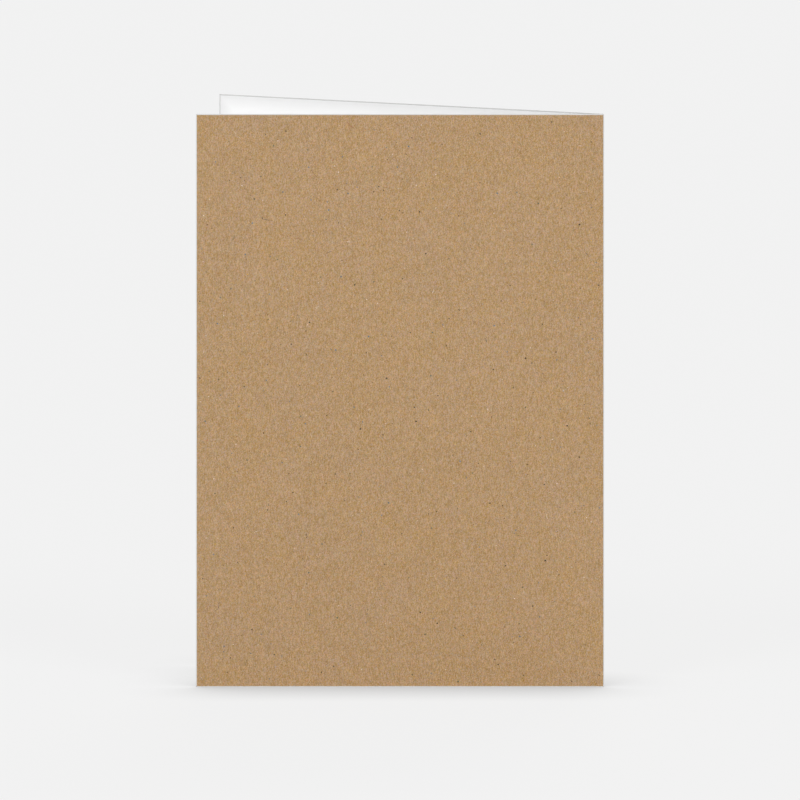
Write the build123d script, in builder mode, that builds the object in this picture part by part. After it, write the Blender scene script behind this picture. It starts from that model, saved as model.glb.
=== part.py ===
from build123d import *
import os
from math import cos, radians, sin

# A blank single-fold greeting card, standing open on its bottom cut edges.
# It is one sheet of white-lined kraft board, creased down its middle and folded once, so it is one solid.
# Millimetres and degrees. +Z is up, the front leaf faces -Y, and the fold stands upright at +X.
# The origin is the middle of the card's outline on the surface that it stands on.

# Driving dimensions
LEAF_WIDTH = 148.0  # each leaf, from its free edge to the outside of the closed fold
LEAF_HEIGHT = 210.0
BOARD_THICKNESS = 0.4
OPENING_ANGLE = 19.5  # between the front leaf and the back leaf

# Fold: the kraft skin goes round the outside, and the crease rule leaves a bead that fills the inside corner
INNER_FOLD_RADIUS = 0.15
BEAD_RADIUS = 0.26
BEAD_SETBACK = 0.1  # from the fold's centre towards the open side, half way between the leaves

# The guillotine presses the skin's edge over as it enters the sheet
CUT_EDGE_ROLLOVER = 0.1

# Worked out from the driving dimensions
OUTER_FOLD_RADIUS = INNER_FOLD_RADIUS + BOARD_THICKNESS
FOLD_TURN = 180 - OPENING_ANGLE
STRAIGHT_WIDTH = LEAF_WIDTH - OUTER_FOLD_RADIUS
OPENING = radians(OPENING_ANGLE)
ROLLED_OFF = CUT_EDGE_ROLLOVER * (sin(OPENING) + cos(OPENING) - 1)  # at the back leaf's free edge
CARD_DEPTH = OUTER_FOLD_RADIUS * (1 + cos(OPENING)) + STRAIGHT_WIDTH * sin(OPENING) - ROLLED_OFF

FRONT_FREE_EDGE = Vector(-LEAF_WIDTH / 2, -CARD_DEPTH / 2)
FOLD_START = FRONT_FREE_EDGE + Vector(STRAIGHT_WIDTH, 0)
FOLD_CENTRE = FOLD_START + Vector(0, OUTER_FOLD_RADIUS)
BACK_LEAF_DIRECTION = Vector(-cos(OPENING), sin(OPENING))
BACK_LEAF_NORMAL = Vector(sin(OPENING), cos(OPENING))
BEAD_DIRECTION = Vector(-cos(OPENING / 2), sin(OPENING / 2))

with BuildPart() as card:
    # Plan section: the kraft skin's line, thickened towards the white side
    with BuildSketch() as section:
        with BuildLine() as skin:
            front_run = Line(FRONT_FREE_EDGE, FOLD_START)
            fold = JernArc(FOLD_START, front_run % 1, OUTER_FOLD_RADIUS, FOLD_TURN)
            Line(fold @ 1, fold @ 1 + BACK_LEAF_DIRECTION * STRAIGHT_WIDTH)
            offset(amount=BOARD_THICKNESS, side=Side.LEFT)
        make_face()
        with Locations(FOLD_CENTRE + BEAD_DIRECTION * BEAD_SETBACK):
            Circle(BEAD_RADIUS)
    extrude(amount=LEAF_HEIGHT)

    # The skin's three faces, and the edges where the guillotine cut them
    back_axis = Axis((0, 0, 0), BACK_LEAF_NORMAL)
    front_skin = card.faces().filter_by(Axis.Y).sort_by(Axis.Y)[0]
    back_skin = card.faces().filter_by(back_axis).sort_by(back_axis)[-1]
    fold_skin = card.faces().filter_by(GeomType.CYLINDER).sort_by(Axis.X)[-1]
    skin_edges = ShapeList(front_skin.edges() + fold_skin.edges() + back_skin.edges())
    level_edges = skin_edges.filter_by(Axis.Z, reverse=True)
    free_edges = skin_edges.filter_by(Axis.Z).sort_by(Axis.X)[:2]
    fillet(level_edges + free_edges, CUT_EDGE_ROLLOVER)

card.part.label = "card"

os.makedirs("parts", exist_ok=True)
export_step(card.part, "parts/card.step")
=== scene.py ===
"""A blank single-fold greeting card of white-lined kraft board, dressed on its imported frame.

Metres and radians. +Z is up, the front leaf faces -Y, and the fold stands upright at +X.
"""

import logging
from dataclasses import dataclass
from enum import Enum
from math import cos, pi, radians, sin, sqrt
from typing import Any, Iterable, Mapping, Sequence

import bpy
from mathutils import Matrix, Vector


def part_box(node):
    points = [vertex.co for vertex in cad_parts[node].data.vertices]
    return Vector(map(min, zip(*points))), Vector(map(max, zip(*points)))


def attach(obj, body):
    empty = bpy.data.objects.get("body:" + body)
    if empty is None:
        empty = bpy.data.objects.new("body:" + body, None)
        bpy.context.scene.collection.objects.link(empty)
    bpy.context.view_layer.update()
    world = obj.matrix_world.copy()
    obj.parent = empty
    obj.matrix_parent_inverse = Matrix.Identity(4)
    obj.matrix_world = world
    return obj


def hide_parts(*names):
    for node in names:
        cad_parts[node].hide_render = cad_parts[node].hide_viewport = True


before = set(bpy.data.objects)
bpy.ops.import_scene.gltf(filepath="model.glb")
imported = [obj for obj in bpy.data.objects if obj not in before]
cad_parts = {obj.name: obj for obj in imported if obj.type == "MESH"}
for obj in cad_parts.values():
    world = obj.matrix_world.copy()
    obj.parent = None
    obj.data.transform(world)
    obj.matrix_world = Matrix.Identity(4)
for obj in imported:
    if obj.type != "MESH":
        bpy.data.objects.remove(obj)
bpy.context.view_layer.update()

log = logging.getLogger("greeting_card")

Tree = bpy.types.NodeTree
Node = bpy.types.Node
Socket = bpy.types.NodeSocket

MM = 0.001
MATH = "ShaderNodeMath"
VECTOR_MATH = "ShaderNodeVectorMath"
SHEET_MAP = "sheet"  # unrolled place: along the sheet from the fold's middle, up, and depth below the skin
GRID_MAP = "grid"  # column, row and layer of the sheet's mesh, counted from its middle and its skin
TONE_MAP = "tone"  # one random number for each fleck
BAKE_MAP = "OFBake"
CELLULOSE_IOR = 1.47

BOARD_THICKNESS = 0.4 * MM
FOLD_RADIUS = 0.55 * MM  # of the skin
OPENING = radians(19.5)
SURFACE_DEPTH = 0.001 * MM  # what is no deeper counts as the surface


def linear(colour: str) -> tuple[float, float, float, float]:
    """Turn an sRGB hex colour into the linear one that a node takes.

    Args:
        colour: six hex digits after a number sign.

    Returns:
        Linear red, green and blue, and an alpha of 1.
    """
    parts = [int(colour[place:place + 2], 16) / 255 for place in (1, 3, 5)]
    red, green, blue = (
        part / 12.92 if part <= 0.04045 else ((part + 0.055) / 1.055) ** 2.4 for part in parts)
    return red, green, blue, 1.0


def add(tree: Tree, kind: str, *values: Any, named: Mapping[str, Any] | None = None,
        **settings: Any) -> Node:
    """Add a node with its settings and links.

    Args:
        tree: the tree that the node goes into.
        kind: the node's type.
        values: one for each live input in order. A node gives its first live output, a socket gives itself,
            None leaves the input alone, and anything else is set on it.
        named: the same for inputs picked by name.
        settings: the node's own properties, which are set first.

    Returns:
        The new node.
    """
    node = tree.nodes.new(kind)
    for setting, value in settings.items():
        setattr(node, setting, value)
    live = [socket for socket in node.inputs if socket.enabled]
    pairs = list(zip(live, values)) + [(node.inputs[name], value) for name, value in (named or {}).items()]
    for socket, value in pairs:
        if isinstance(value, Node):
            value = next(output for output in value.outputs if output.enabled)
        if isinstance(value, Socket):
            tree.links.new(value, socket)
        elif value is not None:
            socket.default_value = value
    return node


def start_geometry_tree(name: str, sizes: Mapping[str, str]) -> tuple[Tree, Mapping[str, Any]]:
    """Start a geometry tree with named inputs.

    Args:
        name: the tree's name.
        sizes: each input's name and the end of its socket type, such as Float.

    Returns:
        The tree, and its inputs by name.
    """
    tree = bpy.data.node_groups.new(name, "GeometryNodeTree")
    for size, kind in sizes.items():
        tree.interface.new_socket(size, in_out="INPUT", socket_type="NodeSocket" + kind)
    tree.interface.new_socket("Geometry", in_out="OUTPUT", socket_type="NodeSocketGeometry")
    return tree, add(tree, "NodeGroupInput").outputs


def end_geometry_tree(tree: Tree, geometry: Node, finish: Socket) -> None:
    """End a geometry tree with real faces in their finish.

    Args:
        tree: the tree.
        geometry: the node that makes the geometry.
        finish: the input that holds the material.
    """
    real = add(tree, "GeometryNodeRealizeInstances", geometry)
    dressed = add(tree, "GeometryNodeSetMaterial", real, None, finish)
    add(tree, "NodeGroupOutput", dressed)


def grow(name: str, tree: Tree, sizes: Mapping[str, Any],
         start: bpy.types.Mesh | None = None) -> bpy.types.Object:
    """Run a geometry tree and keep its result as a plain mesh.

    Args:
        name: the piece's name.
        tree: the geometry tree.
        sizes: a value for each of the tree's named inputs.
        start: the mesh that the tree works on, where it takes one.

    Returns:
        The piece, at the origin, with no modifier left on it.
    """
    piece = bpy.data.objects.new(name, start or bpy.data.meshes.new(name))
    bpy.context.collection.objects.link(piece)
    modifier = piece.modifiers.new("Grow", "NODES")
    modifier.node_group = tree
    for item in tree.interface.items_tree:
        if item.item_type == "SOCKET" and item.in_out == "INPUT" and item.name in sizes:
            modifier[item.identifier] = sizes[item.name]
    graph = bpy.context.evaluated_depsgraph_get()
    mesh = bpy.data.meshes.new_from_object(
        piece.evaluated_get(graph), preserve_all_data_layers=True, depsgraph=graph)
    piece.modifiers.remove(modifier)
    piece.data = mesh
    mesh.name = name
    return piece


def edge_distance(tree: Tree, place: Sequence[Socket], half_length: Any, half_height: Any) -> Node:
    """Measure how far a point of the unrolled sheet is from its nearest cut edge.

    Args:
        tree: the material's or the geometry's tree.
        place: the three parts of the unrolled place.
        half_length: half the unrolled sheet's length.
        half_height: half its height.

    Returns:
        The distance in metres.
    """
    along = add(tree, MATH, place[0], operation="ABSOLUTE")
    to_free_edge = add(tree, MATH, half_length, along, operation="SUBTRACT")
    from_middle = add(tree, MATH, place[1], half_height, operation="SUBTRACT")
    up_or_down = add(tree, MATH, from_middle, operation="ABSOLUTE")
    to_level_edge = add(tree, MATH, half_height, up_or_down, operation="SUBTRACT")
    return add(tree, MATH, to_free_edge, to_level_edge, operation="MINIMUM")


def start_material(name: str) -> tuple[bpy.types.Material, Tree]:
    """Start an empty node material and return it with its tree."""
    material = bpy.data.materials.new(name)
    material.use_nodes = True
    material.node_tree.nodes.clear()
    return material, material.node_tree


@dataclass(frozen=True)
class LinedBoard:
    """White-lined kraft board: a wire-side kraft skin, a grey core and a smooth white lining.

    The skin is unbleached recycled pulp, machine made and left uncoated. To the eye it is a matt tan, mottled
    by short fibres that lie mostly upright, with no gloss. The lining is bleached and pressed smooth, so it
    is even and a little brighter. The guillotine and the crease rule leave pale, bruised fibres. Near its cut
    edges the lining carries painted shade: a soft grey margin, and a grey line that is partly bruise.
    """

    half_length: float
    half_height: float
    thickness: float

    # Colours
    warm_dark: str = "#A17C34"
    warm_light: str = "#CEA975"
    cool_dark: str = "#957D5E"
    cool_light: str = "#C1A99A"
    green_flush: str = "#F0FAF0"
    pink_flush: str = "#FFF0F4"
    bruised: str = "#D3D3D2"
    core: str = "#CFCECA"
    core_dark: str = "#B9B6AE"
    lining: str = "#FCFCFC"
    # painted shade on the lining near its cut edges, clearing to white inwards
    lining_painted_shade: str = "#EDEDED"
    # the lining's grey line at the cut: partly bruised fibres, partly painted shade of the cut edge
    lining_cut_bruise_and_shade: str = "#CECECD"

    # Fibres of recycled pulp are 0.03 mm wide, which is too fine to show, and up to 2 mm long. They are drawn
    # about seven times as wide, at their true length. Each layer has its length, its lean in degrees and its
    # strength.
    fibre_width: float = 0.2 * MM
    fibre_layers: tuple[tuple[float, float, float], ...] = (
        (0.33 * MM, -24, 0.8), (0.7 * MM, 31, 0.54), (1.6 * MM, -6, 0.48))

    # Sizes of the mottle, and how strongly each one shows
    grain: float = 0.37 * MM
    flush: float = 0.555 * MM
    clump: float = 5 * MM
    patch: float = 15 * MM
    cloud: float = 45 * MM
    fibre_contrast: float = 2.4
    clump_contrast: float = 0.17
    cloud_contrast: float = 0.09
    grain_contrast: float = 2.15
    patch_contrast: float = 0.5
    flush_contrast: float = 2.4
    grain_lean: float = radians(24)
    flush_lean: float = radians(-17)

    # Plies, bruises, cut lines and the lining's painted edge shade
    skin_ply: float = 0.05 * MM
    lining_ply: float = 0.05 * MM
    ply_blur: float = 0.01 * MM
    core_streak: tuple[float, float, float] = (1.5 * MM, 1.5 * MM, 0.06 * MM)
    bruise_width: float = 0.3 * MM
    fold_bruise: float = 0.5 * MM
    bruise_blur: float = 0.03 * MM
    notch: float = 0.6 * MM
    notch_depth: float = 0.1 * MM
    lining_line: float = 0.35 * MM
    line_blur: float = 0.035 * MM
    # how far in from the cut edges the lining's painted shade reaches
    painted_shade_width: float = 5.5 * MM

    # Surface
    tooth: float = 0.012 * MM
    lining_tooth: float = 0.25  # as a share of the skin's
    skin_roughness: float = 0.86
    lining_roughness: float = 0.62
    sheen_level: float = 0.25

    def build(self) -> bpy.types.Material:
        """Make the material of the whole board, ply by ply."""
        material, tree = start_material("white_lined_kraft_board")
        sheet = add(tree, "ShaderNodeAttribute", attribute_name=SHEET_MAP).outputs["Vector"]
        place = add(tree, "ShaderNodeSeparateXYZ", sheet).outputs
        edge = edge_distance(tree, place, self.half_length, self.half_height)
        fibres = self.fibres(tree, sheet)
        bruise = self.bruise(tree, sheet, place, edge)
        skin = add(tree, "ShaderNodeMix", bruise, self.kraft(tree, sheet, fibres), linear(self.bruised),
                   data_type="RGBA")
        white = self.lining_colour(tree, edge)
        core = self.core_colour(tree, sheet)
        under_skin = add(tree, "ShaderNodeMapRange", place[2], self.skin_ply - self.ply_blur,
                         self.skin_ply + 2 * self.ply_blur, 0, 1)
        lining_start = self.thickness - self.lining_ply
        at_lining = add(tree, "ShaderNodeMapRange", place[2], lining_start,
                        lining_start + self.ply_blur, 0, 1)
        colour = add(tree, "ShaderNodeMix", under_skin, skin, core, data_type="RGBA")
        colour = add(tree, "ShaderNodeMix", at_lining, colour, white, data_type="RGBA")
        roughness = add(tree, "ShaderNodeMapRange", at_lining, 0, 1,
                        self.skin_roughness, self.lining_roughness)
        smoother = add(tree, "ShaderNodeMapRange", at_lining, 0, 1, 1, self.lining_tooth)
        bump = add(tree, "ShaderNodeBump", named={
            "Strength": smoother, "Distance": self.tooth, "Height": fibres})
        surface = add(tree, "ShaderNodeBsdfPrincipled", named={
            "Base Color": colour, "Roughness": roughness, "Normal": bump, "IOR": CELLULOSE_IOR,
            "Specular IOR Level": self.sheen_level})
        add(tree, "ShaderNodeOutputMaterial", surface)
        return material

    def noise(self, tree: Tree, sheet: Socket, size: tuple[float, float, float], detail: float,
              roughness: float, lean: float = 0.0) -> Node:
        """Spread a noise over the unrolled sheet.

        Args:
            tree: the material's tree.
            sheet: the unrolled place.
            size: the length, height and depth of one feature.
            detail: how many finer layers it has.
            roughness: how strong these are.
            lean: how far its features lean from upright.

        Returns:
            The noise, with a middle of a half.
        """
        turned = add(tree, "ShaderNodeVectorRotate", sheet, None, lean, rotation_type="Z_AXIS")
        between_nodes = (0.0, 0.0, 0.5)  # a noise fades at its whole numbers, and the skin's depth is nought
        stretched = add(tree, VECTOR_MATH, turned, tuple(1 / length for length in size), between_nodes,
                        operation="MULTIPLY_ADD")
        return add(tree, "ShaderNodeTexNoise", stretched, named={
            "Scale": 1.0, "Detail": detail, "Roughness": roughness})

    def fibres(self, tree: Tree, sheet: Socket) -> Node:
        """Lay fibres over each other, some nearly upright and some that lean each way."""
        layers = []
        for length, lean, strength in self.fibre_layers:
            size = (self.fibre_width, length, self.fibre_width)
            layers.append((self.noise(tree, sheet, size, 1.0, 0.5, radians(lean)), strength))
        return self.blend(tree, layers)

    def kraft(self, tree: Tree, sheet: Socket, fibres: Node) -> Node:
        """Mottle the skin: light and dark fibres, warm and cool grains, clumps and broad clouds.

        Args:
            tree: the material's tree.
            sheet: the unrolled place.
            fibres: the fibres' height.

        Returns:
            The colour.
        """
        clumps = self.noise(tree, sheet, (self.clump,) * 3, 2.0, 0.6)
        clouds = self.noise(tree, sheet, (self.cloud,) * 3, 2.0, 0.6)
        grains = self.noise(tree, sheet, (self.grain,) * 3, 1.0, 0.6, self.grain_lean)
        patches = self.noise(tree, sheet, (self.patch,) * 3, 6.0, 0.72)
        flushes = self.noise(tree, sheet, (self.flush,) * 3, 2.0, 0.8, self.flush_lean)
        light = self.blend(tree, (
            (fibres, self.fibre_contrast), (clumps, self.clump_contrast), (clouds, self.cloud_contrast)))
        warmth = self.blend(tree, ((grains, self.grain_contrast), (patches, self.patch_contrast)))
        flush = self.blend(tree, ((flushes, self.flush_contrast),))
        cool, warm, tint = (
            add(tree, "ShaderNodeMix", share, linear(dark), linear(pale), data_type="RGBA")
            for share, dark, pale in ((light, self.cool_dark, self.cool_light),
                                      (light, self.warm_dark, self.warm_light),
                                      (flush, self.green_flush, self.pink_flush)))
        both = add(tree, "ShaderNodeMix", warmth, cool, warm, data_type="RGBA")
        return add(tree, "ShaderNodeMix", 1.0, both, tint, data_type="RGBA", blend_type="MULTIPLY")

    def blend(self, tree: Tree, parts: Iterable[tuple[Node, float]]) -> Node:
        """Blend noises about a half.

        Args:
            tree: the material's tree.
            parts: each noise and its gain.

        Returns:
            The blend, kept from 0 to 1.
        """
        total = 0.5
        for source, gain in parts:
            centred = add(tree, MATH, source, 0.5, operation="SUBTRACT")
            total = add(tree, MATH, centred, gain, total, operation="MULTIPLY_ADD")
        total.use_clamp = True
        return total

    def bruise(self, tree: Tree, sheet: Socket, place: Sequence[Socket], edge: Node) -> Node:
        """Find where the skin is scuffed pale: along the cuts, and where it cracks round the fold.

        Args:
            tree: the material's tree.
            sheet: the unrolled place.
            place: its three parts.
            edge: the distance from the nearest cut edge.

        Returns:
            0 for sound skin and 1 for bruised skin.
        """
        ragged = self.noise(tree, sheet, (self.notch,) * 3, 2.0, 0.6)
        wander = add(tree, MATH, ragged, self.notch_depth, -self.notch_depth / 2, operation="MULTIPLY_ADD")
        fold = add(tree, MATH, place[0], operation="ABSOLUTE")
        bands = []
        for distance, width in ((edge, self.bruise_width), (fold, self.fold_bruise)):
            moved = add(tree, MATH, distance, wander, operation="ADD")
            bands.append(add(tree, "ShaderNodeMapRange", moved, width - self.bruise_blur,
                             width + self.bruise_blur, 1, 0))
        return add(tree, MATH, *bands, operation="MAXIMUM")

    def lining_colour(self, tree: Tree, edge: Node) -> Node:
        """Tone the white lining: a grey line at the cut, partly bruised fibres and partly painted shade, then
        a painted grey shade that clears inwards from the cut edges.

        Args:
            tree: the material's tree.
            edge: the distance from the nearest cut edge.

        Returns:
            The colour.
        """
        # Painted shade: the lining greys towards its cut edges and clears to white inwards.
        inwards = add(tree, "ShaderNodeMapRange", edge, self.lining_line, self.painted_shade_width, 0, 1)
        white_with_painted_shade = add(tree, "ShaderNodeMix", inwards, linear(self.lining_painted_shade), linear(self.lining),
                    data_type="RGBA")
        # The grey cut line is partly bruised fibres and partly painted shade of the cut edge.
        line = add(tree, "ShaderNodeMapRange", edge, self.lining_line,
                   self.lining_line + self.line_blur, 1, 0)
        return add(tree, "ShaderNodeMix", line, white_with_painted_shade, linear(self.lining_cut_bruise_and_shade), data_type="RGBA")

    def core_colour(self, tree: Tree, sheet: Socket) -> Node:
        """Streak the core along its plies, as the blade leaves it."""
        streaks = self.noise(tree, sheet, self.core_streak, 1.0, 0.5)
        amount = add(tree, "ShaderNodeMapRange", streaks, 0.3, 0.7, 0, 1)
        return add(tree, "ShaderNodeMix", amount, linear(self.core_dark), linear(self.core), data_type="RGBA")


class MapBand(Enum):
    """The lowest and highest place of each kind of face on the bake map."""

    SKIN = (0.004, 0.706)
    LINING = (0.718, 0.938)
    TOP_CUT = (0.948, 0.957)
    BOTTOM_CUT = (0.962, 0.971)
    BACK_CUT = (0.976, 0.983)
    FRONT_CUT = (0.988, 0.995)


@dataclass(frozen=True)
class FoldedSheet:
    """The card itself: one sheet of board, creased down its middle and folded once."""

    finish: LinedBoard
    straight: float
    height: float
    thickness: float
    fold_radius: float
    fold_centre: Vector
    opening: float
    bead_radius: float = 0.26 * MM
    bead_setback: float = 0.1 * MM
    rollover: float = 0.1 * MM
    margin: float = 0.6 * MM
    crisp_angle: float = radians(30)  # the smallest that shows as an edge

    # Steps of the mesh
    fold_steps: int = 16
    leaf_steps: int = 24
    edge_steps: int = 4
    core_steps: int = 3

    # Shares of the bake map: its empty rim, a bruised margin along the sheet and up it, and half the fold
    map_rim: float = 0.004
    map_margin: float = 0.006
    map_level_margin: float = 0.009
    map_half_fold: float = 0.01

    @property
    def half_columns(self) -> int:
        """Steps from the fold's middle to a free edge."""
        return self.fold_steps + self.leaf_steps + 1 + self.edge_steps

    @property
    def half_rows(self) -> int:
        """Steps from half way up to a level edge."""
        return self.leaf_steps + 1 + self.edge_steps

    @property
    def layers(self) -> int:
        """Steps from the skin to the lining."""
        return self.edge_steps + self.core_steps

    @property
    def half_turn(self) -> float:
        """Half the angle that the skin turns through at the fold."""
        return (pi - self.opening) / 2

    @property
    def half_arc(self) -> float:
        """Half the skin's length round the fold."""
        return self.half_turn * self.fold_radius

    @property
    def bead_rise(self) -> float:
        """How far the bead's centre is from the plane of a leaf's lining."""
        return self.fold_radius - self.thickness + self.bead_setback * sin(self.opening / 2)

    @property
    def bead_reach(self) -> float:
        """How far along a leaf the bead's foot is from the fold's centre."""
        return self.bead_setback * cos(self.opening / 2) + sqrt(self.bead_radius ** 2 - self.bead_rise ** 2)

    @property
    def bead_half_angle(self) -> float:
        """Half the angle of the bead's arc that stands clear of the leaves."""
        foot = Vector((sqrt(self.bead_radius ** 2 - self.bead_rise ** 2), self.bead_rise))
        return foot.angle(Vector((1, 0))) + self.opening / 2

    def build(self) -> bpy.types.Object:
        """Make the sheet, map it for baking and hand it to the frame."""
        piece = grow("card_sheet", self.plant_tree(), {
            "Straight Width": self.straight, "Leaf Height": self.height, "Board Thickness": self.thickness,
            "Fold Radius": self.fold_radius, "Fold Half Turn": self.half_turn,
            "Fold Centre": self.fold_centre, "Bead Radius": self.bead_radius,
            "Bead Setback": self.bead_setback, "Bead Reach": self.bead_reach,
            "Bead Half Angle": self.bead_half_angle, "Edge Rollover": self.rollover,
            "Bruised Margin": self.margin, "Board": self.finish.build()})
        self.lay_out_bake_map(piece.data)
        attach(piece, "root")
        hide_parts("card")
        return piece

    def plant_tree(self) -> Tree:
        """Write the tree that rolls a slab's edges over and folds it.

        A cube of vertices is a slab counted in columns, rows and layers. The counts become real lengths,
        which are finer at the edges and the fold. The rollover pulls the skin's edges in, and then each
        column turns round the fold's centre.

        Returns:
            The geometry tree.
        """
        tree, size = start_geometry_tree("folded_sheet", {
            "Straight Width": "Float", "Leaf Height": "Float", "Board Thickness": "Float",
            "Fold Radius": "Float", "Fold Half Turn": "Float", "Fold Centre": "Vector",
            "Bead Radius": "Float", "Bead Setback": "Float", "Bead Reach": "Float",
            "Bead Half Angle": "Float", "Edge Rollover": "Float", "Bruised Margin": "Float",
            "Board": "Material"})
        columns, rows, layers = 2 * self.half_columns, 2 * self.half_rows, self.layers
        slab = add(tree, "GeometryNodeMeshCube", (1, 1, 1), columns + 1, rows + 1, layers + 1)
        counted = add(tree, VECTOR_MATH, add(tree, "GeometryNodeInputPosition"),
                      (columns, rows, layers), (0, 0, layers / 2), operation="MULTIPLY_ADD")
        counts = add(tree, "ShaderNodeSeparateXYZ", counted).outputs
        column = add(tree, MATH, counts[0], operation="ABSOLUTE")
        row = add(tree, MATH, counts[1], operation="ABSOLUTE")
        side = add(tree, MATH, counts[0], operation="SIGN")
        half_height = add(tree, MATH, size["Leaf Height"], 0.5, operation="MULTIPLY")
        half_arc = add(tree, MATH, size["Fold Radius"], size["Fold Half Turn"], operation="MULTIPLY")

        margin_run = add(tree, MATH, size["Bruised Margin"], size["Edge Rollover"], operation="SUBTRACT")
        leaf_run = add(tree, MATH, size["Straight Width"], size["Bruised Margin"], operation="SUBTRACT")
        height_run = add(tree, MATH, half_height, size["Bruised Margin"], operation="SUBTRACT")
        core_run = add(tree, MATH, size["Board Thickness"], size["Edge Rollover"], operation="SUBTRACT")
        edge_runs = ((1, margin_run), (self.edge_steps, size["Edge Rollover"]))
        arc = self.stride(tree, column, 0, ((self.fold_steps, half_arc),))
        along = self.stride(tree, column, self.fold_steps, ((self.leaf_steps, leaf_run), *edge_runs))
        up = self.stride(tree, row, 0, ((self.leaf_steps, height_run), *edge_runs))
        depth = self.stride(tree, counts[2], 0, ((self.edge_steps, size["Edge Rollover"]),
                                                 (self.core_steps, core_run)))

        to_free_edge = add(tree, MATH, size["Straight Width"], along, operation="SUBTRACT")
        to_level_edge = add(tree, MATH, half_height, up, operation="SUBTRACT")
        rolled = self.roll_over(tree, size["Edge Rollover"], (to_free_edge, to_level_edge, depth)).outputs
        along = add(tree, MATH, size["Straight Width"], rolled[0], operation="SUBTRACT")
        up = add(tree, MATH, half_height, rolled[1], operation="SUBTRACT")
        signed_up = add(tree, MATH, add(tree, MATH, counts[1], operation="SIGN"), up, half_height,
                        operation="MULTIPLY_ADD")

        outside, inside = self.fold(tree, size, side, column, arc, along)
        depth_share = add(tree, MATH, rolled[2], size["Board Thickness"], operation="DIVIDE")
        plan = add(tree, "ShaderNodeMix", depth_share, outside, inside, data_type="VECTOR")
        plan_parts = add(tree, "ShaderNodeSeparateXYZ", plan).outputs
        final = add(tree, "ShaderNodeCombineXYZ", plan_parts[0], plan_parts[1], signed_up)
        from_fold = add(tree, MATH, arc, along, operation="ADD")
        sheet_along = add(tree, MATH, from_fold, side, operation="MULTIPLY")
        unrolled = add(tree, "ShaderNodeCombineXYZ", sheet_along, signed_up, rolled[2])

        marked = slab
        for name, value in ((SHEET_MAP, unrolled), (GRID_MAP, counted)):
            marked = add(tree, "GeometryNodeStoreNamedAttribute", marked, None, name, value,
                         data_type="FLOAT_VECTOR", domain="POINT")
        folded = add(tree, "GeometryNodeSetPosition", marked, None, final)
        turned = add(tree, "GeometryNodeFlipFaces", folded)
        angle = add(tree, "GeometryNodeInputMeshEdgeAngle")
        corner = add(tree, "FunctionNodeCompare", angle, self.crisp_angle, data_type="FLOAT",
                     operation="GREATER_THAN")
        smooth = add(tree, "GeometryNodeSetShadeSmooth", turned, None, True, domain="FACE")
        crisp = add(tree, "GeometryNodeSetShadeSmooth", smooth, corner, False, domain="EDGE")
        end_geometry_tree(tree, crisp, size["Board"])
        return tree

    def stride(self, tree: Tree, count: Any, first: int, runs: Iterable[tuple[int, Any]]) -> Node:
        """Turn a count of steps into a length, run by run.

        Args:
            tree: the geometry tree.
            count: the count of steps.
            first: the count at which the first run starts.
            runs: for each run, its number of steps and its length.

        Returns:
            The length.
        """
        total = None
        for steps, length in runs:
            run = add(tree, "ShaderNodeMapRange", count, first, first + steps, 0, length)
            total = run if total is None else add(tree, MATH, total, run, operation="ADD")
            first += steps
        return total

    def roll_over(self, tree: Tree, radius: Socket, distances: tuple[Any, Any, Any]) -> Node:
        """Round the skin's edges, with a mitre at the corners.

        Args:
            tree: the geometry tree.
            radius: the rollover's radius.
            distances: from the free edge, from the level edge and from the skin.

        Returns:
            The same distances after the rollover, as parts.
        """
        distance = add(tree, "ShaderNodeCombineXYZ", *distances)
        short = add(tree, VECTOR_MATH, radius, distance, operation="SUBTRACT")
        short = add(tree, VECTOR_MATH, short, (0, 0, 0), operation="MAXIMUM")
        parts = add(tree, "ShaderNodeSeparateXYZ", short).outputs
        nearest = add(tree, MATH, parts[0], parts[1], operation="MAXIMUM")
        both = add(tree, "ShaderNodeCombineXYZ", nearest, parts[2], 0)
        reach = add(tree, VECTOR_MATH, both, operation="LENGTH")
        share = add(tree, MATH, radius, reach, operation="DIVIDE")
        pull = add(tree, MATH, add(tree, MATH, 1, share, operation="SUBTRACT"), 0, operation="MAXIMUM")
        moved = add(tree, VECTOR_MATH, short, pull, distance, operation="MULTIPLY_ADD")
        return add(tree, "ShaderNodeSeparateXYZ", moved)

    def fold(self, tree: Tree, size: Mapping[str, Any], side: Node, column: Node, arc: Node,
             along: Node) -> tuple[Node, Node]:
        """Bend the sheet round the fold's centre, with the crease's bead in its inside corner.

        Args:
            tree: the geometry tree.
            size: the tree's named inputs.
            side: -1 on the front leaf and 1 on the back leaf.
            column: the column, counted from the fold's middle.
            arc: the skin's length from the fold's middle, up to the fold's end.
            along: the length past the fold's end.

        Returns:
            The plan places of the skin and of the lining.
        """
        centre = size["Fold Centre"]
        swing = add(tree, MATH, add(tree, MATH, arc, side, operation="MULTIPLY"), size["Fold Radius"],
                    operation="DIVIDE")
        turn = add(tree, MATH, size["Fold Half Turn"], swing, operation="ADD")
        inner_radius = add(tree, MATH, size["Fold Radius"], size["Board Thickness"], operation="SUBTRACT")
        bead_share = add(tree, MATH, size["Bead Reach"], size["Straight Width"], operation="DIVIDE")
        shrink = add(tree, MATH, 1, bead_share, operation="SUBTRACT")
        lining_along = add(tree, MATH, along, shrink, size["Bead Reach"], operation="MULTIPLY_ADD")
        faces = []
        for length, radius in ((along, size["Fold Radius"]), (lining_along, inner_radius)):
            out = add(tree, MATH, length, side, operation="MULTIPLY")
            down = add(tree, MATH, radius, -1, operation="MULTIPLY")
            arm = add(tree, "ShaderNodeCombineXYZ", out, down, 0)
            reach = add(tree, VECTOR_MATH, centre, arm, operation="ADD")
            faces.append(add(tree, "ShaderNodeVectorRotate", reach, centre, turn, rotation_type="Z_AXIS"))

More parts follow.
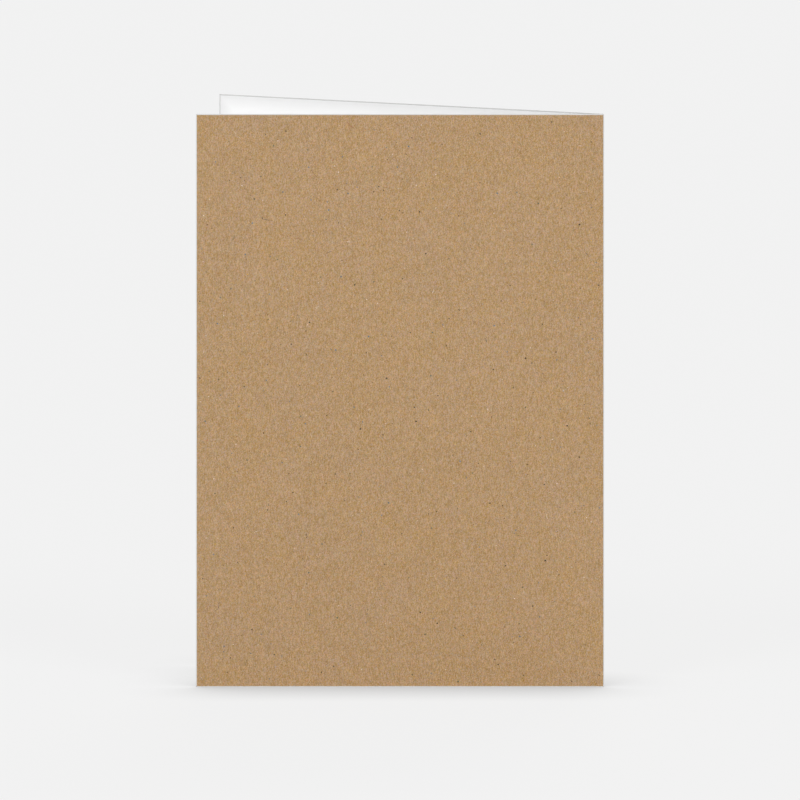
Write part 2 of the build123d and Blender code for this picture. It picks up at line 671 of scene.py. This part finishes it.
        halfway = add(tree, MATH, size["Fold Half Turn"], pi / 2, operation="ADD")
        setback = add(tree, "ShaderNodeCombineXYZ", size["Bead Setback"], 0, 0)
        bead_start = add(tree, VECTOR_MATH, centre, setback, operation="ADD")
        bead_centre = add(tree, "ShaderNodeVectorRotate", bead_start, centre, halfway, rotation_type="Z_AXIS")
        share = add(tree, MATH, column, self.fold_steps, operation="DIVIDE")
        lean = add(tree, MATH, add(tree, MATH, share, side, operation="MULTIPLY"), size["Bead Half Angle"],
                   operation="MULTIPLY")
        bead_turn = add(tree, MATH, halfway, lean, operation="SUBTRACT")
        bead_arm = add(tree, "ShaderNodeCombineXYZ", size["Bead Radius"], 0, 0)
        bead_rim = add(tree, VECTOR_MATH, bead_centre, bead_arm, operation="ADD")
        bead = add(tree, "ShaderNodeVectorRotate", bead_rim, bead_centre, bead_turn, rotation_type="Z_AXIS")
        at_fold = add(tree, "FunctionNodeCompare", column, self.fold_steps - 0.5, data_type="FLOAT",
                      operation="LESS_THAN")
        lining = add(tree, "GeometryNodeSwitch", at_fold, faces[1], bead, input_type="VECTOR")
        return faces[0], lining

    def lay_out_bake_map(self, mesh: bpy.types.Mesh) -> None:
        """Lay the sheet out flat for baking, with most of the map for its mottled skin.

        The bruised margins and the fold get more of the map than their width, and so do the four cut faces.

        Args:
            mesh: the sheet's mesh.
        """
        length = self.straight + self.half_arc
        rim, past_margin = self.map_rim, self.map_rim + self.map_margin
        across = (
            (-length, rim), (self.margin - length, past_margin),
            (-self.half_arc, 0.5 - self.map_half_fold), (self.half_arc, 0.5 + self.map_half_fold),
            (length - self.margin, 1 - past_margin), (length, 1 - rim))
        upward = (
            (0.0, 0.0), (self.margin, self.map_level_margin),
            (self.height - self.margin, 1 - self.map_level_margin), (self.height, 1.0))
        through = ((0.0, 0.0), (self.thickness, 1.0))
        sheet = mesh.attributes[SHEET_MAP].data
        grid = mesh.attributes[GRID_MAP].data
        half_step = 0.5
        bake_map = mesh.uv_layers.new(name=BAKE_MAP)
        for face in mesh.polygons:
            corners = [grid[vertex].vector for vertex in face.vertices]
            if all(corner.z < half_step for corner in corners):
                first, second, band = across, upward, MapBand.SKIN
            elif all(corner.z > self.layers - half_step for corner in corners):
                first, second, band = across, upward, MapBand.LINING
            elif all(abs(corner.y) > self.half_rows - half_step for corner in corners):
                first, second = across, through
                band = MapBand.TOP_CUT if corners[0].y > 0 else MapBand.BOTTOM_CUT
            else:
                first, second = upward, through
                band = MapBand.BACK_CUT if corners[0].x > 0 else MapBand.FRONT_CUT
            low, high = band.value
            for loop in face.loop_indices:
                place = sheet[mesh.loops[loop].vertex_index].vector
                u_value = place.y if first is upward else place.x
                v_value = place.z if second is through else place.y
                u = self.stretch(u_value, first)
                if first is upward:
                    u = rim + (1 - 2 * rim) * u
                bake_map.data[loop].uv = (u, low + (high - low) * self.stretch(v_value, second))
        mesh.attributes.remove(mesh.attributes[GRID_MAP])

    @staticmethod
    def stretch(value: float, knots: tuple[tuple[float, float], ...]) -> float:
        """Map a length through straight spans.

        Args:
            value: the length.
            knots: pairs of length and result, in rising order.

        Returns:
            The result at that length.
        """
        for (start, low), (end, high) in zip(knots, knots[1:]):
            if value <= end:
                break
        share = min(max((value - start) / (end - start), 0.0), 1.0)
        return low + (high - low) * share


@dataclass(frozen=True)
class PulpFleck:
    """A fleck in recycled pulp: matt, and one colour through, but no two flecks are the same."""

    name: str
    stops: tuple[tuple[float, str], ...]
    roughness: float = 0.8

    def build(self) -> bpy.types.Material:
        """Make a material that gives each fleck its own tone."""
        material, tree = start_material(self.name)
        tone = add(tree, "ShaderNodeAttribute", attribute_name=TONE_MAP).outputs["Fac"]
        ramp = add(tree, "ShaderNodeValToRGB", tone)
        elements = ramp.color_ramp.elements
        elements[0].position, elements[0].color = self.stops[0][0], linear(self.stops[0][1])
        elements[1].position, elements[1].color = self.stops[-1][0], linear(self.stops[-1][1])
        for position, colour in self.stops[1:-1]:
            elements.new(position).color = linear(colour)
        surface = add(tree, "ShaderNodeBsdfPrincipled", named={
            "Base Color": ramp, "Roughness": self.roughness, "IOR": CELLULOSE_IOR})
        add(tree, "ShaderNodeOutputMaterial", surface)
        return material


class FleckShape(Enum):
    """What a fleck is: a crumb of wood or ink, or a loose fibre."""

    CRUMB = "crumb"
    FIBRE = "fibre"


@dataclass(frozen=True)
class SkinFlecks:
    """Flecks of one kind, pressed into the kraft skin by the board machine's rollers."""

    name: str
    shape: FleckShape
    finish: PulpFleck
    per_square_metre: float
    smallest: float
    largest: float
    clear_margin: float
    seed: int
    crumb_thickness: float = 0.03 * MM
    small_bias: float = 2.2  # the power that makes small ones the most common
    slimmest: float = 0.45  # width as a share of length

    # A loose fibre: its sections, and its radius, tips and height as shares
    fibre_points: int = 7
    fibre_sides: int = 5
    fibre_radius: float = 0.028
    fibre_tip: float = 0.35
    fibre_pressed: float = 0.35

    # The bake map: a share for all the tones, a thin column for each tone, and rows that go up with height
    map_left: float = 0.012
    map_tones: float = 0.97
    map_column: float = 0.004
    map_columns_per_metre: float = 10
    map_foot: float = 0.01
    map_rise_per_metre: float = 4.6

    def build(self, sheet: FoldedSheet, skin: bpy.types.Mesh) -> bpy.types.Object:
        """Scatter the flecks over the skin and hand them to the frame.

        Args:
            sheet: the sheet's sizes.
            skin: the sheet's mesh.

        Returns:
            The finished piece.
        """
        piece = grow(self.name, self.plant_tree(), {
            "Flecks Per Square Metre": self.per_square_metre, "Smallest": self.smallest,
            "Largest": self.largest, "Crumb Thickness": self.crumb_thickness,
            "Clear Margin": self.clear_margin,
            "Half Length": sheet.straight + sheet.half_arc, "Half Height": sheet.height / 2,
            "Seed": self.seed, "Pulp": self.finish.build()}, skin.copy())
        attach(piece, "root")
        return piece

    def plant_tree(self) -> Tree:
        """Write the tree that scatters flecks over the skin's side of the sheet.

        Returns:
            The geometry tree.
        """
        tree, size = start_geometry_tree(self.name, {
            "Sheet": "Geometry", "Flecks Per Square Metre": "Float", "Smallest": "Float", "Largest": "Float",
            "Crumb Thickness": "Float", "Clear Margin": "Float", "Half Length": "Float",
            "Half Height": "Float", "Seed": "Int", "Pulp": "Material"})
        unrolled = add(tree, "GeometryNodeInputNamedAttribute", SHEET_MAP, data_type="FLOAT_VECTOR")
        place = add(tree, "ShaderNodeSeparateXYZ", unrolled).outputs
        depth = add(tree, "GeometryNodeFieldOnDomain", place[2], data_type="FLOAT", domain="FACE")
        on_skin = add(tree, "FunctionNodeCompare", depth, SURFACE_DEPTH, data_type="FLOAT",
                      operation="LESS_THAN")
        points = add(tree, "GeometryNodeDistributePointsOnFaces", size["Sheet"], on_skin,
                     size["Flecks Per Square Metre"], size["Seed"])

        from_cuts = edge_distance(tree, place, size["Half Length"], size["Half Height"])
        from_fold = add(tree, MATH, place[0], operation="ABSOLUTE")
        clearance = add(tree, MATH, from_cuts, from_fold, operation="MINIMUM")
        clear = add(tree, "FunctionNodeCompare", clearance, size["Clear Margin"], data_type="FLOAT",
                    operation="GREATER_THAN")

        seeds = [add(tree, MATH, size["Seed"], step, operation="ADD") for step in range(1, 5)]
        growth, slimness, spin, tone = (
            add(tree, "FunctionNodeRandomValue", 0.0, 1.0, None, seed, data_type="FLOAT") for seed in seeds)
        growth = add(tree, MATH, growth, self.small_bias, operation="POWER")
        length = add(tree, "ShaderNodeMapRange", growth, 0, 1, size["Smallest"], size["Largest"])
        slimness = add(tree, "ShaderNodeMapRange", slimness, 0, 1, self.slimmest, 1)
        width = add(tree, MATH, length, slimness, operation="MULTIPLY")
        spin = add(tree, MATH, spin, 2 * pi, operation="MULTIPLY")
        twist = add(tree, "FunctionNodeAxisAngleToRotation", (0, 0, 1), spin)
        facing = add(tree, "FunctionNodeRotateRotation", points.outputs["Rotation"], twist,
                     rotation_space="LOCAL")
        if self.shape is FleckShape.CRUMB:
            shapes = add(tree, "GeometryNodeMeshIcoSphere", 0.5, 1)  # one unit across, 20 faces
            scale = add(tree, "ShaderNodeCombineXYZ", length, width, size["Crumb Thickness"])
        else:
            shapes = self.fibres(tree)
            scale = add(tree, "ShaderNodeCombineXYZ", length, length, length)
        flecks = add(tree, "GeometryNodeInstanceOnPoints", points, clear, shapes,
                     self.shape is FleckShape.FIBRE, None, facing, scale)
        toned = add(tree, "GeometryNodeStoreNamedAttribute", flecks, None, TONE_MAP, tone,
                    data_type="FLOAT", domain="INSTANCE")
        real = add(tree, "GeometryNodeRealizeInstances", toned)
        end_geometry_tree(tree, self.map_for_bake(tree, real), size["Pulp"])
        return tree

    def fibres(self, tree: Tree) -> Node:
        """Make three loose fibres, a long unit each: nearly straight, bent and hooked."""
        shapes = add(tree, "GeometryNodeJoinGeometry")
        for bend, end in ((0.1, (0.5, 0, 0)), (0.3, (0.46, 0.05, 0)), (0.5, (0.25, 0.2, 0))):
            line = add(tree, "GeometryNodeCurveQuadraticBezier", self.fibre_points, (-0.5, 0, 0),
                       (0.05, bend, 0), end)
            share = add(tree, "GeometryNodeSplineParameter").outputs["Factor"]
            swell = add(tree, MATH, add(tree, MATH, share, pi, operation="MULTIPLY"), operation="SINE")
            taper = add(tree, "ShaderNodeMapRange", swell, 0, 1, self.fibre_tip, 1)
            section = add(tree, "GeometryNodeCurvePrimitiveCircle", self.fibre_sides, self.fibre_radius)
            tube = add(tree, "GeometryNodeCurveToMesh", line, section, taper, True)
            pressed = add(tree, "GeometryNodeTransform", tube, None, None, (1, 1, self.fibre_pressed))
            single = add(tree, "GeometryNodeGeometryToInstance", pressed)
            tree.links.new(single.outputs[0], shapes.inputs[0])
        return shapes

    def map_for_bake(self, tree: Tree, flecks: Node) -> Node:
        """Map each fleck on the line of its own tone, so that a baked map keeps its colour.

        Args:
            tree: the geometry tree.
            flecks: the real flecks.

        Returns:
            The flecks with their map.
        """
        tone = add(tree, "GeometryNodeInputNamedAttribute", TONE_MAP, data_type="FLOAT")
        place = add(tree, "ShaderNodeSeparateXYZ", add(tree, "GeometryNodeInputPosition")).outputs
        columns = add(tree, MATH, place[0], self.map_columns_per_metre, operation="MULTIPLY")
        share = add(tree, MATH, columns, operation="FRACT")
        left = add(tree, MATH, tone, self.map_tones, self.map_left, operation="MULTIPLY_ADD")
        u = add(tree, MATH, share, self.map_column, left, operation="MULTIPLY_ADD")
        v = add(tree, MATH, place[2], self.map_rise_per_metre, self.map_foot, operation="MULTIPLY_ADD")
        corner = add(tree, "ShaderNodeCombineXYZ", u, v, 0)
        return add(tree, "GeometryNodeStoreNamedAttribute", flecks, None, BAKE_MAP, corner,
                   data_type="FLOAT2", domain="CORNER")


@dataclass(frozen=True)
class Studio:
    """A plain pale floor, soft light from all round with a gentle front, and the camera."""

    backdrop: str = "#F2F2F2"
    floor_size: float = 8.0
    floor_albedo: str = "#F0F0F0"
    floor_lift: float = 0.92
    # the painted contact shadow in the floor's glow: its reach, its depth at the card and its samples
    painted_shadow_reach: float = 0.038
    painted_shadow_loss: float = 0.65
    contact_samples: int = 16
    sky: float = 0.39
    lamp_power: float = 198.0
    lamp_size: float = 3.0
    lamps: tuple[tuple[str, tuple[float, float, float], float], ...] = (  # name, place and share of the power
        ("lamp_front_left", (-3.3, -4.8, 4.8), 1.0),
        ("lamp_front_right", (3.3, -4.8, 4.8), 1.0),
        ("lamp_back", (0.9, 5.7, 4.4), 0.8))
    elevation: float = radians(8.35)
    aim_height: float = 101.52 * MM
    frame_width: float = 290.19 * MM
    stand_off: float = 1.2

    def build(self) -> None:
        """Set the view, the sky, the lamps, the floor and the camera."""
        bpy.context.scene.view_settings.view_transform = "Standard"
        self.light_sky()
        self.hang_lamps()
        self.lay_floor()
        self.set_camera()

    def seen_directly(self, tree: Tree) -> Node:
        """Tell what the camera sees, directly or in gloss, from what only gives light."""
        path = add(tree, "ShaderNodeLightPath").outputs
        seen = add(tree, MATH, path["Is Camera Ray"], path["Is Glossy Ray"], operation="MAXIMUM")
        return add(tree, MATH, seen, path["Is Transmission Ray"], operation="MAXIMUM")

    def light_sky(self) -> None:
        """Give an even sky, which looks like the backdrop."""
        world = bpy.data.worlds.new("studio")
        world.use_nodes = True
        tree = world.node_tree
        tree.nodes.clear()
        light = add(tree, "ShaderNodeBackground", (1, 1, 1, 1), self.sky)
        shown = add(tree, "ShaderNodeBackground", linear(self.backdrop), 1.0)
        mixed = add(tree, "ShaderNodeMixShader", self.seen_directly(tree), light, shown)
        add(tree, "ShaderNodeOutputWorld", mixed)
        bpy.context.scene.world = world

    def hang_lamps(self) -> None:
        """Hang three large soft boxes: two in front, left and right, and one behind."""
        for name, place, share in self.lamps:
            lamp = bpy.data.lights.new(name, "AREA")
            lamp.shape = "DISK"
            lamp.size = self.lamp_size
            lamp.energy = self.lamp_power * share
            holder = bpy.data.objects.new(name, lamp)
            holder.location = place
            aim = Vector((0, 0, self.aim_height)) - holder.location
            holder.rotation_euler = aim.to_track_quat("-Z", "Y").to_euler()
            bpy.context.collection.objects.link(holder)

    def lay_floor(self) -> None:
        """Lay a pale matt floor that meets the backdrop unseen, with a soft contact shadow painted into its
        glow where the card stands.
        """
        half = self.floor_size / 2
        corners = [(-half, -half, 0), (half, -half, 0), (half, half, 0), (-half, half, 0)]
        mesh = bpy.data.meshes.new("floor")
        mesh.from_pydata(corners, [], [(0, 1, 2, 3)])
        floor = bpy.data.objects.new("floor", mesh)
        bpy.context.collection.objects.link(floor)
        material, tree = start_material("matt_studio_floor")
        matt = add(tree, "ShaderNodeBsdfDiffuse", linear(self.floor_albedo))
        # Painted contact shadow: ambient occlusion dims the floor's glow near the card.
        contact = add(tree, "ShaderNodeAmbientOcclusion", named={"Distance": self.painted_shadow_reach},
                      samples=self.contact_samples)
        strength = add(tree, "ShaderNodeMapRange", contact.outputs["AO"], 0, 1, 1 - self.painted_shadow_loss, 1)
        glow_with_painted_shadow = add(tree, "ShaderNodeEmission", linear(self.backdrop), strength)
        lifted = add(tree, "ShaderNodeMixShader", self.floor_lift, matt, glow_with_painted_shadow)
        mixed = add(tree, "ShaderNodeMixShader", self.seen_directly(tree), matt, lifted)
        add(tree, "ShaderNodeOutputMaterial", mixed)
        mesh.materials.append(material)

    def set_camera(self) -> None:
        """Stand the camera off in front, a little above, with no perspective."""
        lens = bpy.data.cameras.new("camera")
        lens.type = "ORTHO"
        lens.ortho_scale = self.frame_width
        camera = bpy.data.objects.new("camera", lens)
        away = Vector((0, -cos(self.elevation), sin(self.elevation)))
        camera.location = Vector((0, 0, self.aim_height)) + away * self.stand_off
        camera.rotation_euler = (pi / 2 - self.elevation, 0, 0)
        bpy.context.collection.objects.link(camera)
        bpy.context.scene.camera = camera


def list_flecks() -> tuple[SkinFlecks, ...]:
    """List the kinds of fleck in the pulp, with their finishes."""
    bark = PulpFleck("bark_and_ink_crumbs", (
        (0.0, "#33291F"), (0.3, "#564530"), (0.6, "#6A6A52"), (0.8, "#6A7072"), (1.0, "#647A8E")))
    bleached = PulpFleck("bleached_and_tinted_crumbs", (
        (0.0, "#EFE9E2"), (0.34, "#DDD3C8"), (0.37, "#DBAA04"), (0.6, "#C8A228"),
        (0.63, "#9098A9"), (0.87, "#A69DA6"), (0.89, "#BE4E34"), (1.0, "#A84838")))
    hair = PulpFleck("loose_dark_fibres", (
        (0.0, "#3A332C"), (0.35, "#6A5A48"), (0.6, "#8C6A3C"), (0.85, "#9A7442"), (1.0, "#8A4838")))
    cotton = PulpFleck("loose_bleached_fibres", ((0.0, "#E6DCD0"), (1.0, "#CDB99E")))
    return (
        SkinFlecks("dark_crumbs", FleckShape.CRUMB, bark, per_square_metre=36000,
                   smallest=0.18 * MM, largest=0.82 * MM, clear_margin=0.9 * MM, seed=11),
        SkinFlecks("pale_crumbs", FleckShape.CRUMB, bleached, per_square_metre=38000,
                   smallest=0.17 * MM, largest=0.44 * MM, clear_margin=0.9 * MM, seed=23),
        SkinFlecks("loose_fibres", FleckShape.FIBRE, hair, per_square_metre=900,
                   smallest=1.6 * MM, largest=3.8 * MM, clear_margin=3.5 * MM, seed=37),
        SkinFlecks("bleached_fibres", FleckShape.FIBRE, cotton, per_square_metre=900,
                   smallest=1.0 * MM, largest=2.6 * MM, clear_margin=3.0 * MM, seed=53))


def main() -> None:
    """Build the card on its frame, then the studio round it."""
    low, high = (Vector(corner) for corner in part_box("card"))
    height = high.z - low.z
    straight = high.x - low.x - FOLD_RADIUS
    half_arc = (pi - OPENING) / 2 * FOLD_RADIUS
    board = LinedBoard(straight + half_arc, height / 2, BOARD_THICKNESS)
    fold_centre = Vector((high.x - FOLD_RADIUS, low.y + FOLD_RADIUS, 0))
    sheet = FoldedSheet(board, straight, height, BOARD_THICKNESS, FOLD_RADIUS, fold_centre, OPENING)
    card = sheet.build()
    log.info("%s: %d faces", card.name, len(card.data.polygons))
    for kind in list_flecks():
        flecks = kind.build(sheet, card.data)
        log.info("%s: %d faces", flecks.name, len(flecks.data.polygons))

    Studio().build()


if __name__ == "__main__":
    logging.basicConfig(level=logging.INFO, format="%(name)s: %(message)s")
    main()
